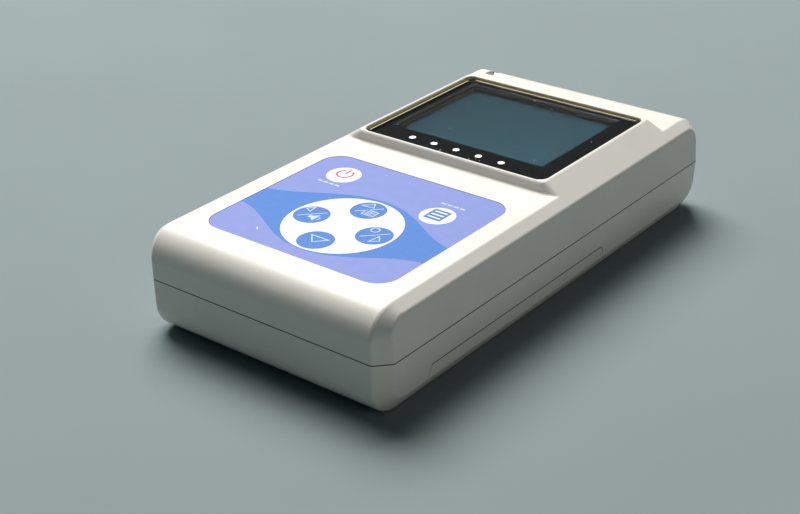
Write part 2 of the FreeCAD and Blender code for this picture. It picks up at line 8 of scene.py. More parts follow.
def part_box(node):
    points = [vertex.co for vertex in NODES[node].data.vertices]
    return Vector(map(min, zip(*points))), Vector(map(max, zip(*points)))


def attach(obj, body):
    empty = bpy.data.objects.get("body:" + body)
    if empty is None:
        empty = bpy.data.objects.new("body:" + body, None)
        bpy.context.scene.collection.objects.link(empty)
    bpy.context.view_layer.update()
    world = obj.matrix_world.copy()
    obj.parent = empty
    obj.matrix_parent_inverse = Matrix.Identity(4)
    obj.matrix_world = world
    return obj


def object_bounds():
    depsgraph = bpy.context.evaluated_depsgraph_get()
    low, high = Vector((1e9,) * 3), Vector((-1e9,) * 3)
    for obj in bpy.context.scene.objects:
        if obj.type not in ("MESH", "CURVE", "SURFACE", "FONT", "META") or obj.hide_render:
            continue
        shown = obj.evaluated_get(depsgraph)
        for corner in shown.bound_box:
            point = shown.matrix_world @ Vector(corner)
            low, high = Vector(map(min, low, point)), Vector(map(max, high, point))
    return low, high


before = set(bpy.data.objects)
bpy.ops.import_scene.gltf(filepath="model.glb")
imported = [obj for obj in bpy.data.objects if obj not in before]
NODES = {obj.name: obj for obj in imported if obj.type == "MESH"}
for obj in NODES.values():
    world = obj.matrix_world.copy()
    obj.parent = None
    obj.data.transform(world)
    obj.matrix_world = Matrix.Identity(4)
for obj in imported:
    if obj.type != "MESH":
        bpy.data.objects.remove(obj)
cad_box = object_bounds()
MM = 0.001                    # named sizes are in millimetres, up to the stage and camera

LIP_REACH = 1.0               # how far the top case's lip reaches below the seam
SEAM_GAP = 0.16
SEAM_MID_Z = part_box("top_case")[0].z / MM + LIP_REACH - SEAM_GAP / 2


# ---------------------------------------------------------------- materials
# Colours are linear. What ends in _mm is in millimetres; a shader's own coordinates are in metres.
class Material:
    """A Principled material in object coordinates, built up by the methods below."""

    def __init__(self, name, colour, rough, metal=0.0, **fixed):
        self.mat = bpy.data.materials.new(name)
        self.mat.use_nodes = True
        self.nodes = self.mat.node_tree.nodes
        self.links = self.mat.node_tree.links
        self.bsdf = self.nodes["Principled BSDF"]
        self.where = self.nodes.new("ShaderNodeTexCoord").outputs["Object"]
        self.set("Base Color", (*colour, 1.0))
        self.set("Roughness", rough)
        self.set("Metallic", metal)
        for key, value in fixed.items():
            self.set(key.replace("_", " "), value)
        self.colour = None
        self.normal = None
        self.mat.diffuse_color = (*colour, 1.0)

    def set(self, socket, value):
        self.bsdf.inputs[socket].default_value = value

    def node(self, kind, **settings):
        made = self.nodes.new("ShaderNode" + kind)
        for key, value in settings.items():
            setattr(made, key, value)
        return made

    def join(self, output, socket):
        self.links.new(output, socket)

    def math(self, operation, a, b=None):
        made = self.node("Math", operation=operation)
        for socket, value in zip(made.inputs, (a, b)):
            if value is None:
                continue
            if isinstance(value, (int, float)):
                socket.default_value = value
            else:
                self.join(value, socket)
        return made.outputs[0]

    def stretched(self, scale):
        mapping = self.node("Mapping")
        mapping.inputs["Scale"].default_value = scale
        self.join(self.where, mapping.inputs["Vector"])
        return mapping.outputs["Vector"]

    def noise(self, size_mm, detail=2.0, stretch=None):
        made = self.node("TexNoise")
        made.inputs["Scale"].default_value = 1.0 / (size_mm * MM)
        made.inputs["Detail"].default_value = detail
        self.join(self.stretched(stretch) if stretch else self.where, made.inputs["Vector"])
        return made.outputs["Fac"]

    def cells(self, size_mm, feature="F1"):
        made = self.node("TexVoronoi", feature=feature)
        made.inputs["Scale"].default_value = 1.0 / (size_mm * MM)
        self.join(self.where, made.inputs["Vector"])
        return made.outputs["Distance"]

    def stripes(self, pitch_mm, direction, distortion=0.0):
        """Bands across one axis; the texture's wave runs through 20 radians in a unit."""
        made = self.node("TexWave", bands_direction=direction)
        made.inputs["Scale"].default_value = 2 * math.pi / (20.0 * pitch_mm * MM)
        made.inputs["Distortion"].default_value = distortion
        self.join(self.where, made.inputs["Vector"])
        return made.outputs["Fac"]

    def axis(self, index):
        split = self.node("SeparateXYZ")
        self.join(self.where, split.inputs[0])
        return split.outputs[index]

    def ramp(self, value, low, high, to_low=0.0, to_high=1.0):
        made = self.node("MapRange")
        made.inputs["From Min"].default_value = low
        made.inputs["From Max"].default_value = high
        made.inputs["To Min"].default_value = to_low
        made.inputs["To Max"].default_value = to_high
        self.join(value, made.inputs["Value"])
        return made.outputs["Result"]

    def inside(self, low_mm, high_mm, edge_mm=0.15):
        """1 within a box, 0 outside it, with a soft edge between."""
        result = None
        for i in range(3):
            at = self.axis(i)
            rise = self.ramp(at, (low_mm[i] - edge_mm) * MM, low_mm[i] * MM)
            fall = self.ramp(at, high_mm[i] * MM, (high_mm[i] + edge_mm) * MM, 1.0, 0.0)
            both = self.math("MULTIPLY", rise, fall)
            result = both if result is None else self.math("MULTIPLY", result, both)
        return result

    def tint(self, factor, colour, share=1.0):
        """Mix another colour in where factor is high, up to its share."""
        if share != 1.0:
            factor = self.math("MULTIPLY", factor, share)
        mix = self.node("Mix", data_type="RGBA")
        if self.colour is None:
            mix.inputs["A"].default_value = self.bsdf.inputs["Base Color"].default_value
        else:
            self.join(self.colour, mix.inputs["A"])
        mix.inputs["B"].default_value = (*colour, 1.0)
        self.join(factor, mix.inputs["Factor"])
        self.colour = mix.outputs["Result"]
        self.join(self.colour, self.bsdf.inputs["Base Color"])
        return self

    def mottle(self, colour, size_mm, low=0.35, high=0.65, detail=3.0):
        """Soft spots of another colour."""
        return self.tint(self.ramp(self.noise(size_mm, detail), low, high), colour)

    def bump(self, height, depth_mm):
        made = self.node("Bump")
        made.inputs["Distance"].default_value = depth_mm * MM
        self.join(height, made.inputs["Height"])
        if self.normal is not None:
            self.join(self.normal, made.inputs["Normal"])
        self.normal = made.outputs["Normal"]
        self.join(self.normal, self.bsdf.inputs["Normal"])
        return self

    def grain(self, size_mm, depth_mm, detail=2.0, stretch=None):
        return self.bump(self.noise(size_mm, detail, stretch), depth_mm)

    def shine(self, low, high, size_mm):
        """Roughness that wanders between two values."""
        value = self.ramp(self.noise(size_mm, detail=3.0), 0.3, 0.7, low, high)
        self.join(value, self.bsdf.inputs["Roughness"])
        return self


GAP_SHADE = (0.34, 0.26, 0.16)                # painted shade: the case's colour as it looks deep in a narrow gap
SEAM_CORE = 0.10              # the seam's shade is full this far from its middle
SEAM_EDGE = 0.17              # and gone this far from it
PIXEL_PITCH = 0.23675         # between the display's columns
WIRE_PITCH = 0.63133          # between the coil's turns
CONDUCTOR_PITCH = 0.98646     # between the ribbon's conductors


def case_plastic():
    """Satin white moulding, a little warm, with a fine spark-eroded grain and soft handling marks."""
    m = Material("case_white", (0.82, 0.80, 0.745), 0.4, Specular_IOR_Level=0.45)
    m.mottle((0.79, 0.765, 0.705), 14.0, 0.42, 0.75)
    m.mottle((0.74, 0.72, 0.66), 1.6, 0.66, 0.86, detail=4.0)
    # painted shade along the seam between the top and bottom cases
    from_seam = m.math("ABSOLUTE", m.math("SUBTRACT", m.axis(2), SEAM_MID_Z * MM))
    m.tint(m.ramp(from_seam, SEAM_CORE * MM, SEAM_EDGE * MM, 0.9, 0.0), GAP_SHADE)

    # painted shade in the gap above the door's skirt, short of the skirt's rounded corners
    low, high = [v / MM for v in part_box("battery_door")]
    within, past, short_near, short_far, under, over = 1.5, 1.0, 1.9, 0.7, 0.06, 0.2
    door_gap_shade = m.inside((high.x - within, low.y + short_near, high.z - under),
                        (high.x + past, high.y - short_far, high.z + over), edge_mm=0.03)
    m.tint(door_gap_shade, GAP_SHADE, 0.8)

    # painted light: a golden tint on the plateau's inner wall round the window stands in for its warm shade
    # and its reflection in the glass
    low, high = [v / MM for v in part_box("display_window")]
    beside, under, over = 0.3, 1.0, 0.4
    rim_wall_painted_light = m.inside((low.x - beside, low.y - beside, low.z - under),
                        (high.x + beside, high.y + beside, high.z + over))
    m.tint(rim_wall_painted_light, (0.92, 0.80, 0.50), 0.85)
    m.shine(0.34, 0.46, 6.0)
    m.grain(0.22, 0.006, 1.0)
    return m.grain(5.0, 0.012, 1.0).mat


def window_glass():
    """Clear acrylic with faint wipe marks. Light on its way to what lies behind goes straight through."""
    m = Material("window_clear", (0.96, 0.98, 0.98), 0.03, IOR=1.49, Transmission_Weight=1.0)
    m.grain(0.5, 0.0001, stretch=(1.0, 0.04, 1.0))
    clear = m.node("BsdfTransparent")
    mix = m.node("MixShader")
    m.join(m.node("LightPath").outputs["Is Shadow Ray"], mix.inputs[0])
    m.join(m.bsdf.outputs[0], mix.inputs[1])
    m.join(clear.outputs[0], mix.inputs[2])
    m.join(mix.outputs[0], m.nodes["Material Output"].inputs["Surface"])
    return m.mat


def display_glass():
    """The unlit colour display: dark teal polariser, with painted light making it paler towards its near
    right corner.
    """
    low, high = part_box("display_panel")
    m = Material("display_dark", (0.0085, 0.025, 0.034), 0.6, Specular_IOR_Level=0.0)
    # painted light: the colour grows paler to the right and towards the near side
    across = m.ramp(m.axis(0), low.x, high.x, 0.0, 0.6)
    near = m.ramp(m.axis(1), high.y, low.y, 0.0, 0.4)
    m.tint(m.math("ADD", across, near), (0.014, 0.044, 0.060))
    m.tint(m.stripes(PIXEL_PITCH, "X"), (0.015, 0.04, 0.055), 0.12)
    return m.grain(0.35, 0.0015, 1.0).mat


def overlay_film(name, colour, spot, rough=0.5):
    """Printed polycarbonate film: velvet grain and a slightly uneven ink."""
    m = Material(name, colour, rough, Specular_IOR_Level=0.25)
    m.mottle(spot, 2.2, 0.3, 0.75, detail=5.0)
    m.shine(rough - 0.05, rough + 0.06, 3.0)
    return m.grain(0.11, 0.004, 1.0).mat


def metal(name, colour, dark, rough, brush=None):
    """Plated or bare metal, brushed along the axis where brush is small."""
    m = Material(name, colour, rough, metal=1.0)
    m.mottle(dark, 1.3, 0.35, 0.8, detail=5.0)
    m.shine(rough - 0.08, rough + 0.1, 0.8)
    return m.grain(0.12, 0.004, stretch=brush).mat


def moulded(name, colour, spot, rough, grain_mm=0.18, depth_mm=0.008, **fixed):
    """Plain moulded plastic."""
    m = Material(name, colour, rough, **fixed)
    m.mottle(spot, 1.8, 0.35, 0.8, detail=4.0)
    m.shine(rough - 0.06, rough + 0.07, 1.5)
    return m.grain(grain_mm, depth_mm).mat


def board_laminate():
    """Green solder mask over copper tracks, with tinned pads."""
    m = Material("board_green", (0.012, 0.12, 0.05), 0.32, Coat_Weight=0.3, Coat_Roughness=0.12)
    tracks = m.ramp(m.cells(2.6, "DISTANCE_TO_EDGE"), 0.02, 0.07, 1.0, 0.0)
    m.tint(tracks, (0.035, 0.24, 0.09), 0.7)
    pads = m.ramp(m.cells(2.6), 0.10, 0.13, 1.0, 0.0)
    m.tint(pads, (0.62, 0.60, 0.55))
    m.bump(tracks, 0.03)
    return m.grain(0.4, 0.006).mat


def coil_winding():
    """Enamelled copper wire, wound in layers side by side."""
    m = Material("coil_copper", (0.62, 0.24, 0.10), 0.3, metal=1.0)
    turns = m.stripes(WIRE_PITCH, "Z", distortion=0.4)
    m.tint(turns, (0.30, 0.09, 0.035), 0.6)
    m.mottle((0.45, 0.15, 0.05), 5.0)
    m.bump(turns, 0.08)
    return m.shine(0.22, 0.4, 2.0).mat


def foam():
    """Open-cell black foam."""
    m = Material("gasket_foam", (0.010, 0.010, 0.011), 0.9, Specular_IOR_Level=0.02)
    holes = m.ramp(m.cells(0.35), 0.15, 0.5)
    m.tint(holes, (0.022, 0.022, 0.023))
    m.bump(holes, 0.01)
    return m.grain(0.15, 0.005).mat


def clear_guide():
    """The light guide's clear plastic, a little cloudy."""
    m = Material("guide_clear", (0.93, 0.95, 0.94), 0.12, IOR=1.49, Transmission_Weight=0.85)
    m.grain(1.0, 0.01)
    return m.mottle((0.85, 0.88, 0.86), 2.0).mat


def film_ribbon():
    """Amber film with copper conductors side by side along Y."""
    m = Material("ribbon_amber", (0.55, 0.20, 0.03), 0.3, Specular_IOR_Level=0.5)
    lines = m.stripes(CONDUCTOR_PITCH, "Y")
    m.tint(m.ramp(lines, 0.45, 0.6), (0.30, 0.10, 0.02))
    m.bump(lines, 0.015)
    return m.mottle((0.62, 0.26, 0.05), 3.0, 0.5, 0.8).mat


def pack_wrap():
    """Grey shrink film round the battery cells: wrinkled, with a paler overlap along the pack."""
    m = Material("pack_grey", (0.085, 0.095, 0.11), 0.34, Coat_Weight=0.25, Coat_Roughness=0.2)
    m.mottle((0.12, 0.13, 0.15), 9.0)
    overlap_low, overlap_high = (7.2, -60.0, -1.0), (9.0, 30.0, 20.0)
    m.tint(m.inside(overlap_low, overlap_high), (0.16, 0.17, 0.19))
    m.grain(6.0, 0.25, 3.0, stretch=(1.0, 0.3, 1.0))
    return m.shine(0.28, 0.46, 3.0).mat


def ink(name, colour, spot, rough=0.4, **fixed):
    """Screen-printed ink, a little uneven."""
    m = Material(name, colour, rough, **fixed)
    m.mottle(spot, 1.2, 0.35, 0.8, detail=4.0)
    return m.grain(0.11, 0.003, 1.0).mat


def lamp_face(name, colour, painted_glow):
    """Frosted end of a light guide, with a faint painted glow."""
    m = Material(name, colour, 0.45, Emission_Color=(*colour, 1.0), Emission_Strength=painted_glow)
    m.mottle([c * 0.85 for c in colour], 0.4)
    return m.grain(0.15, 0.01).mat


white_key = overlay_film("key_white", (0.86, 0.86, 0.85), (0.82, 0.82, 0.82))
blue_key = overlay_film("key_blue", (0.060, 0.205, 0.60), (0.055, 0.188, 0.57))
black_part = moulded("former_black", (0.022, 0.022, 0.024), (0.04, 0.04, 0.042), 0.5)
chip_body = moulded("chip_black", (0.018, 0.018, 0.02), (0.03, 0.03, 0.032), 0.6, 0.1, 0.01)
tinned = metal("tin_plate", (0.66, 0.65, 0.62), (0.50, 0.49, 0.46), 0.28)
steel = metal("screw_steel", (0.56, 0.56, 0.57), (0.38, 0.38, 0.39), 0.26, brush=(1.0, 1.0, 0.1))
foam_black = foam()
case_white = case_plastic()
CAD_FINISH = {
    "top_case": case_white,
    "bottom_case": case_white,
    "battery_door": case_white,
    "display_window": window_glass(),
    "window_mask": moulded("mask_black", (0.007, 0.008, 0.008), (0.009, 0.010, 0.010), 0.6, 0.2, 0.001,
                           Specular_IOR_Level=0.05),
    "display_gasket": foam_black,
    "battery_foam": foam_black,
    "display_panel": moulded("panel_dark", (0.010, 0.012, 0.014), (0.014, 0.016, 0.018), 0.5, 0.5,
                             0.001, Specular_IOR_Level=0.1),
    "display_frame": tinned,
    "clock_crystal": tinned,
    "data_socket": tinned,
    "display_ribbon": film_ribbon(),
    "ribbon_socket": moulded("connector_cream", (0.66, 0.60, 0.46), (0.58, 0.52, 0.38), 0.45),
    "light_guide": clear_guide(),
    "status_lamps": moulded("lamp_white", (0.85, 0.84, 0.72), (0.72, 0.71, 0.58), 0.35),
    "keypad_overlay": overlay_film("overlay_lilac", (0.225, 0.285, 0.66), (0.21, 0.268, 0.635)),
    "tact_switches": moulded("switch_black", (0.03, 0.03, 0.032), (0.06, 0.06, 0.06), 0.42),
    "main_board": board_laminate(),
    "antenna_coil": coil_winding(),
    "coil_former": black_part,
    "buzzer": black_part,
    "reader_chip": chip_body,
    "processor_chip": chip_body,
    "battery_pack": pack_wrap(),
    "battery_contacts": metal("contact_gold", (0.83, 0.60, 0.24), (0.66, 0.44, 0.16), 0.22),
    "case_screws": steel,
    "board_screws": steel,
    "strap_pin": steel,
    "power_key": white_key,
    "menu_key": white_key,
    "up_key": blue_key,
    "down_key": blue_key,
    "left_key": blue_key,
    "right_key": blue_key,
}
for node, finish in CAD_FINISH.items():
    for part_slot in NODES[node].material_slots:
        part_slot.material = finish


# ---------------------------------------------------------------- outlines, in millimetres
def circle(x, y, radius, count=96):
    return [(x + radius * math.cos(a), y + radius * math.sin(a))
            for a in (2 * math.pi * i / count for i in range(count))]


def rectangle(low, high):
    return [(low[0], low[1]), (high[0], low[1]), (high[0], high[1]), (low[0], high[1])]


def rounded_rect(low, high, radius, count=10):
    corners = [(high[0] - radius, high[1] - radius, 0), (low[0] + radius, high[1] - radius, 90),
               (low[0] + radius, low[1] + radius, 180), (high[0] - radius, low[1] + radius, 270)]
    return [(cx + radius * math.cos(math.radians(start + 90 * i / count)),
             cy + radius * math.sin(math.radians(start + 90 * i / count)))
            for cx, cy, start in corners for i in range(count + 1)]


def bar(a, b, width):
    """A straight stroke with square ends."""
    dx, dy = b[0] - a[0], b[1] - a[1]
    length = math.hypot(dx, dy)
    nx, ny = -dy / length * width / 2, dx / length * width / 2
    return [(a[0] + nx, a[1] + ny), (b[0] + nx, b[1] + ny), (b[0] - nx, b[1] - ny),
            (a[0] - nx, a[1] - ny)]


def arc_stroke(x, y, radius, width, start, end, count=48):
    """An open ring between two angles in degrees."""
    angles = [math.radians(start + (end - start) * i / count) for i in range(count + 1)]
    rims = [[(x + r * math.cos(a), y + r * math.sin(a)) for a in angles]
            for r in (radius + width / 2, radius - width / 2)]
    return rims[0] + rims[1][::-1]


def side_normal(a, b):
    dx, dy = b[0] - a[0], b[1] - a[1]
    length = math.hypot(dx, dy)
    return dy / length, -dx / length


def sides_moved(points, distance):
    """A polygon with every side moved sideways by a distance."""
    result = []
    for before, here, after in zip(points[-1:] + points[:-1], points, points[1:] + points[:1]):
        one, two = side_normal(before, here), side_normal(here, after)
        mx, my = one[0] + two[0], one[1] + two[1]
        k = distance * 2 / (mx * mx + my * my)
        result.append((here[0] + mx * k, here[1] + my * k))
    return result


def offset_ring(points, width):
    """The outer and the inner loop of a stroke centred on a polygon's sides."""
    return [sides_moved(points, width / 2), sides_moved(points, -width / 2)]


def bezier(p0, p1, p2, p3, count=40):
    result = []
    for i in range(count + 1):
        t = i / count
        a, b, c, d = (1 - t) ** 3, 3 * t * (1 - t) ** 2, 3 * t * t * (1 - t), t ** 3
        result.append((a * p0[0] + b * p1[0] + c * p2[0] + d * p3[0],
                       a * p0[1] + b * p1[1] + c * p2[1] + d * p3[1]))
    return result


def shifted(points, dx, dy):
    return [(x + dx, y + dy) for x, y in points]


WELD_METRES = 1e-8            # corners closer than this become one


def inlay(name, loops, bottom, top, body, finish, bevel=0.0):
    """A flat piece whose outline is the loops; a loop inside another is a hole."""
    curve = bpy.data.curves.new(name, "CURVE")
    curve.dimensions = "2D"
    curve.fill_mode = "BOTH"
    curve.extrude = (top - bottom) / 2 * MM
    for loop in loops:
        spline = curve.splines.new("POLY")
        spline.points.add(len(loop) - 1)
        spline.use_cyclic_u = True
        for point, (x, y) in zip(spline.points, loop):
            point.co = (x * MM, y * MM, 0.0, 1.0)
    source = bpy.data.objects.new(name, curve)
    bpy.context.scene.collection.objects.link(source)
    mesh = bpy.data.meshes.new_from_object(source)
    bpy.data.objects.remove(source)
    mesh.transform(Matrix.Translation((0, 0, (top + bottom) / 2 * MM)))
    work = bmesh.new()
    work.from_mesh(mesh)
    bmesh.ops.remove_doubles(work, verts=work.verts, dist=WELD_METRES)
    bmesh.ops.recalc_face_normals(work, faces=work.faces)
    work.to_mesh(mesh)
    work.free()
    mesh.name = name
    mesh.materials.clear()
    mesh.materials.append(finish)
    piece = bpy.data.objects.new(name, mesh)
    bpy.context.scene.collection.objects.link(piece)
    if bevel:
        soft = piece.modifiers.new("edge", "BEVEL")
        soft.width = bevel * MM
        soft.segments = 2
        soft.limit_method = "ANGLE"
    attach(piece, body)


def centre(node):
    low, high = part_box(node)
    mid = (low + high) / 2 / MM
    return mid.x, mid.y


# ---------------------------------------------------------------- prints on the keypad film
DECK_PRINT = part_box("keypad_overlay")[1].z / MM      # the film's face, which the prints lie on
OVERLAY_LOW, OVERLAY_HIGH = [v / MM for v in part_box("keypad_overlay")]
WHITE_KEYS = ("power_key", "menu_key")
BLUE_KEYS = ("up_key", "down_key", "left_key", "right_key")
KEY_AT = {name: centre(name) for name in WHITE_KEYS + BLUE_KEYS}
KEY_FILM = {"key_white": white_key, "key_blue": blue_key}

INK_SINK = 0.03               # how far a print reaches into the face that it lies on
INK_RISE = 0.02               # how far the white disc and the keys' signs stand above it
LOW_RISE = INK_RISE / 2       # the band, the rules and the scuff, which lie lower than the disc

DISC_X = KEY_AT["up_key"][0]
DISC_Y = (KEY_AT["up_key"][1] + KEY_AT["down_key"][1]) / 2
DISC_R = 11.9
DISC_LAP = 0.1                # the disc covers the band's inner edge by this much
HOLE_R = 3.66                 # the disc's openings for the four blue keys
BAND_INSET = 0.02             # the band stops this far short of the film's sides
BAND_SHOULDER = 7.5           # reach of the curve's handles, at the film's sides and over the disc
BAND_CREST = 9.5

KEY_RIM_R = 3.645             # the film's skirt round a key, which all but closes the gap round it
KEY_RIM_WIDE = 0.22
KEY_RIM_DEEP = 0.6
KEY_RIM_RISE = 0.004

RULES = 4                     # short rules in a row, beside each of the two upper keys
RULE_PITCH = 1.5
RULE_LONG = 1.2
RULE_FIRST = -2.9             # the first one's start, from the key's middle
RULE_HALF = 0.27
RULE_CORNER = 0.24
RULE_BELOW_POWER = 4.75
RULE_ABOVE_MENU = 5.15

SCUFF = [(-0.5, 0.38), (-0.1, 0.3), (0.45, -0.42), (0.3, -0.5), (-0.2, 0.0)]
SCUFF_FROM_DISC = (-12.4, -10.45)

band_ink = ink("ink_band", (0.058, 0.205, 0.61), (0.053, 0.188, 0.58), 0.5, Specular_IOR_Level=0.25)
white_ink = ink("ink_white", (0.88, 0.88, 0.88), (0.84, 0.84, 0.85))
pale_ink = ink("ink_pale", (0.62, 0.66, 0.93), (0.50, 0.55, 0.90))
icon_ink = ink("ink_icon", (0.56, 0.68, 0.93), (0.44, 0.58, 0.88))
red_ink = ink("ink_red", (0.66, 0.055, 0.085), (0.72, 0.12, 0.15))


def film_print(name, loops, rise, finish):
    inlay(name, loops, DECK_PRINT - INK_SINK, DECK_PRINT + rise, "handset", finish)


def band_edge(side, crest, lift):
    """One long edge of the blue band, from the film's left side over the disc to its right side.
    Its height at the sides and over the disc is from the disc's middle; lift bends it at the sides."""
    left, right = OVERLAY_LOW.x + BAND_INSET, OVERLAY_HIGH.x - BAND_INSET
    side_y, crest_y = DISC_Y + side, DISC_Y + crest
    half = bezier((left, side_y), (left + BAND_SHOULDER, side_y + lift),
                  (DISC_X - BAND_CREST, crest_y), (DISC_X, crest_y))
    other = bezier((right, side_y), (right - BAND_SHOULDER, side_y + lift),
                   (DISC_X + BAND_CREST, crest_y), (DISC_X, crest_y))
    return half + other[::-1][1:]


band = (band_edge(side=4.05, crest=12.7, lift=1.3)
        + band_edge(side=-3.45, crest=-12.2, lift=-0.6)[::-1])
film_print("print_blue_band", [band, circle(DISC_X, DISC_Y, DISC_R - DISC_LAP)], LOW_RISE,
           band_ink)
disc = [circle(DISC_X, DISC_Y, DISC_R, count=160)]
disc += [circle(*KEY_AT[name], HOLE_R) for name in BLUE_KEYS]
film_print("print_white_disc", disc, INK_RISE, white_ink)

for key_name in WHITE_KEYS + BLUE_KEYS:
    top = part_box(key_name)[1].z / MM
    rim = [circle(*KEY_AT[key_name], r) for r in (KEY_RIM_R, KEY_RIM_R - KEY_RIM_WIDE)]
    slot = "key_white" if key_name in WHITE_KEYS else "key_blue"
    inlay("rim_" + key_name, rim, top - KEY_RIM_DEEP, top + KEY_RIM_RISE, key_name, KEY_FILM[slot])

# pale rules stand where the film names its two upper keys
for label, key_name, from_key in (("power", "power_key", -RULE_BELOW_POWER),
                                  ("menu", "menu_key", RULE_ABOVE_MENU)):
    x, y = KEY_AT[key_name]
    starts = [x + RULE_FIRST + RULE_PITCH * i for i in range(RULES)]
    low_y, high_y = y + from_key - RULE_HALF, y + from_key + RULE_HALF
    rules = [rounded_rect((start, low_y), (start + RULE_LONG, high_y), RULE_CORNER, count=4)
             for start in starts]
    film_print("print_rule_" + label, rules, LOW_RISE, pale_ink)
scuff = shifted(SCUFF, DISC_X + SCUFF_FROM_DISC[0], DISC_Y + SCUFF_FROM_DISC[1])
film_print("print_scuff", [scuff], LOW_RISE, white_ink)

# ---------------------------------------------------------------- signs on the keys
# Points are in millimetres from the middle of the key.
STROKE = 0.24
FINE_STROKE = 0.22
TEXT_STROKE = 0.2
POWER_STROKE = 0.44
DOWN_STROKE = 0.26
PAGE_LINE_HALF = 0.26
POWER_X, POWER_Y = -0.15, 0.55
SLASH = bar((-2.15, -1.75), (2.0, 2.35), STROKE)


def sign(key_name, label, loops, finish=icon_ink):
    x, y = KEY_AT[key_name]
    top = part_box(key_name)[1].z / MM
    inlay("icon_" + key_name + "_" + label, [shifted(loop, x, y) for loop in loops], top - INK_SINK,
          top + INK_RISE, key_name, finish)


power_ring = arc_stroke(POWER_X, POWER_Y, 1.7, POWER_STROKE, start=122, end=418)
sign("power_key", "ring", [power_ring], red_ink)
sign("power_key", "stem", [bar((POWER_X, 2.75), (POWER_X, 0.7), POWER_STROKE)], red_ink)

page = rounded_rect((-2.2, -1.8), (1.75, 2.45), 0.3, count=5)
page_lines = [rounded_rect((-1.72, y - PAGE_LINE_HALF), (1.28, y + PAGE_LINE_HALF), 0.12, count=3)
              for y in (1.6, 0.38, -0.84)]
sign("menu_key", "panel", [page] + page_lines, band_ink)

sign("up_key", "triangle", offset_ring([(-2.5, 1.15), (0.15, 1.45), (-0.75, 3.0)], FINE_STROKE))
sign("up_key", "slash", [SLASH])
screen = offset_ring([(-0.45, -1.75), (2.35, -1.75), (2.35, 0.25), (-0.45, 0.25)], STROKE)
screen_lines = [bar((0.0, y), (1.9, y), TEXT_STROKE) for y in (-0.25, -0.75, -1.25)]
sign("up_key", "screen", screen + screen_lines)

sign("left_key", "triangle", offset_ring([(-2.75, 1.7), (-1.3, 0.9), (-1.5, 2.9)], FINE_STROKE))
sign("left_key", "slash", [SLASH])
speaker = [(-0.15, -0.15), (0.65, -0.15), (1.65, 0.75), (1.65, -1.95), (0.65, -1.15), (-0.15, -1.15)]
sign("left_key", "speaker", [speaker])
sign("left_key", "wave", [arc_stroke(1.5, -0.62, 0.85, STROKE, start=-42, end=42, count=16)])

sign("right_key", "ring", [circle(-1.35, 2.0, r, count=40) for r in (0.98, 0.72)])
sign("right_key", "slash", [SLASH])
sign("right_key", "triangle", offset_ring([(0.55, -2.4), (2.2, -1.2), (0.95, 0.35)], STROKE))

sign("down_key", "triangle", offset_ring([(-2.1, 1.35), (2.1, 1.35), (-0.1, -0.95)], DOWN_STROKE))

# ---------------------------------------------------------------- display stack
MASK_LOW, MASK_HIGH = [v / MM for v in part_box("window_mask")]
WINDOW_LOW, WINDOW_HIGH = [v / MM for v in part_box("display_window")]
PANEL_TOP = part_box("display_panel")[1].z / MM
GASKET_LOW, GASKET_HIGH = [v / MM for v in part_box("display_gasket")]
GASKET_WALL = (2.0, 1.5)      # thickness of the gasket's sides, along X and along Y
OPEN_LOW = (GASKET_LOW.x + GASKET_WALL[0], GASKET_LOW.y + GASKET_WALL[1])
OPEN_HIGH = (GASKET_HIGH.x - GASKET_WALL[0], GASKET_HIGH.y - GASKET_WALL[1])

BORDER_LEFT = 0.7             # dark border between the opening and the lit area
BORDER_RIGHT = 0.05
BORDER_NEAR = 0.05
BORDER_FAR = 0.1
ACTIVE_LOW = (OPEN_LOW[0] + BORDER_LEFT, OPEN_LOW[1] + BORDER_NEAR)
ACTIVE_HIGH = (OPEN_HIGH[0] - BORDER_RIGHT, OPEN_HIGH[1] - BORDER_FAR)
ACTIVE_SINK = 0.02
ACTIVE_RISE = 0.05
inlay("display_active_area", [rectangle(ACTIVE_LOW, ACTIVE_HIGH)], PANEL_TOP - ACTIVE_SINK,
      PANEL_TOP + ACTIVE_RISE, "handset", display_glass())

FACE_GAP = 0.01               # keeps two faces from lying in one plane
WALL_SHADE_OUTER = 0.33            # the painted shade ring's two outlines, outside the opening
WALL_SHADE_INNER = 0.08
# painted shade: a dark brown ring stands where the ledge's white wall round the opening lies in shade below
# the window
wall_shade_finish = moulded("painted_wall_shade", (0.038, 0.034, 0.027), (0.032, 0.029, 0.023), 0.8, depth_mm=0.001,
                       Specular_IOR_Level=0.02)
wall_shade_loops = [rectangle([v - out for v in OPEN_LOW], [v + out for v in OPEN_HIGH])
         for out in (WALL_SHADE_OUTER, WALL_SHADE_INNER)]
inlay("display_wall_shade", wall_shade_loops, GASKET_HIGH.z + FACE_GAP, MASK_LOW.z - FACE_GAP, "handset",
      wall_shade_finish)

LAMP_PITCH = 5.73
LAMP_R = 0.7
LAMP_SINK = 0.03              # how far a lamp's face starts below the black frame
LAMP_BEVEL = 0.02
# painted glow: the unlit lamps' faces give off a little light of their own
LAMP_PAINTED_GLOW = 0.05
LAMP_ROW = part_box("status_lamps")
LAMP_MID = (LAMP_ROW[0] + LAMP_ROW[1]) / 2 / MM
LAMP_TINTS = ((0.86, 0.84, 0.92), (0.80, 0.84, 0.95), (0.78, 0.88, 0.86), (0.88, 0.88, 0.70),
              (0.78, 0.88, 0.58))
for i, tint in enumerate(LAMP_TINTS):
    x = LAMP_MID.x + LAMP_PITCH * (i - (len(LAMP_TINTS) - 1) / 2)
    inlay(f"lamp_face_{i + 1}", [circle(x, LAMP_MID.y, LAMP_R, count=40)], MASK_LOW.z - LAMP_SINK,
          MASK_HIGH.z - FACE_GAP, "handset", lamp_face(f"lamp_tint_{i + 1}", tint, LAMP_PAINTED_GLOW),
          bevel=LAMP_BEVEL)
